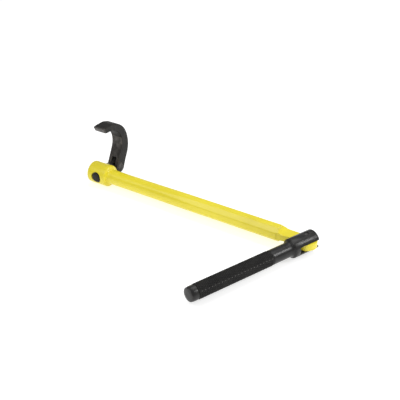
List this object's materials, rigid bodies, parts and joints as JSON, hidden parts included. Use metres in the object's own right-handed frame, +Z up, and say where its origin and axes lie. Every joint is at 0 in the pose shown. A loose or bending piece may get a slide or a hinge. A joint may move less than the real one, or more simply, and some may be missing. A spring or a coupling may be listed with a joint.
{
  "type": "basin wrench",
  "caption": "Adjustable basin wrench: sprung hook jaw on a swivelling cross shank, yellow steel shaft and a knurled handle that folds in a fork joint.",
  "frame": {"origin": "bottom centre of the whole tool's box at rest, on the surface that it lies on", "axes": "+X along the shaft from the hook head to the handle joint, +Y from the folded handle towards the hook's side, +Z up out of the surface that it lies on"},
  "size_m": [0.2696, 0.1702, 0.0673],
  "materials": {
    "yellow_paint": "satin powder-like enamel over steel",
    "black_forging": "black oxide on a drop forging, semi-matt",
    "black_bar": "black oxide on turned and knurled bar, satin",
    "dark_steel": "darkened steel, satin",
    "bright_steel": "plain ground steel",
    "spring_steel": "straw-brown tempered spring wire"
  },
  "bodies": {
    "shaft": {"shaft": "yellow_paint", "detent_ball": "bright_steel", "detent_spring": "spring_steel", "detent_screw": "dark_steel"},
    "swivel": {"swivel_shank": "black_forging", "wave_washer": "bright_steel", "snap_ring": "dark_steel"},
    "jaw": {"hook": "black_forging", "hook_pin": "dark_steel", "hook_spring": "spring_steel"},
    "handle": {"handle": "black_bar", "fork_pin": "dark_steel", "upper_washer": "bright_steel", "lower_washer": "bright_steel"}
  },
  "joints": [
    {"name": "head_swivel", "type": "hinge", "parent": "shaft", "child": "swivel", "pos_m": [-0.12244, 0.04498, 0.01175], "axis": [0, 1, 0], "range_deg": [-225, 45]},
    {"name": "jaw_pivot", "type": "hinge", "parent": "swivel", "child": "jaw", "pos_m": [-0.12244, 0.06848, 0.01175], "axis": [1, 0, 0], "range_deg": [-60, 0], "stiffness_Nm_per_rad": 0.08, "springref_deg": 51.57},
    {"name": "handle_fold", "type": "hinge", "parent": "shaft", "child": "handle", "pos_m": [0.12356, 0.04498, 0.01175], "axis": [0, 0, 1], "range_deg": [0, 220]}
  ]
}
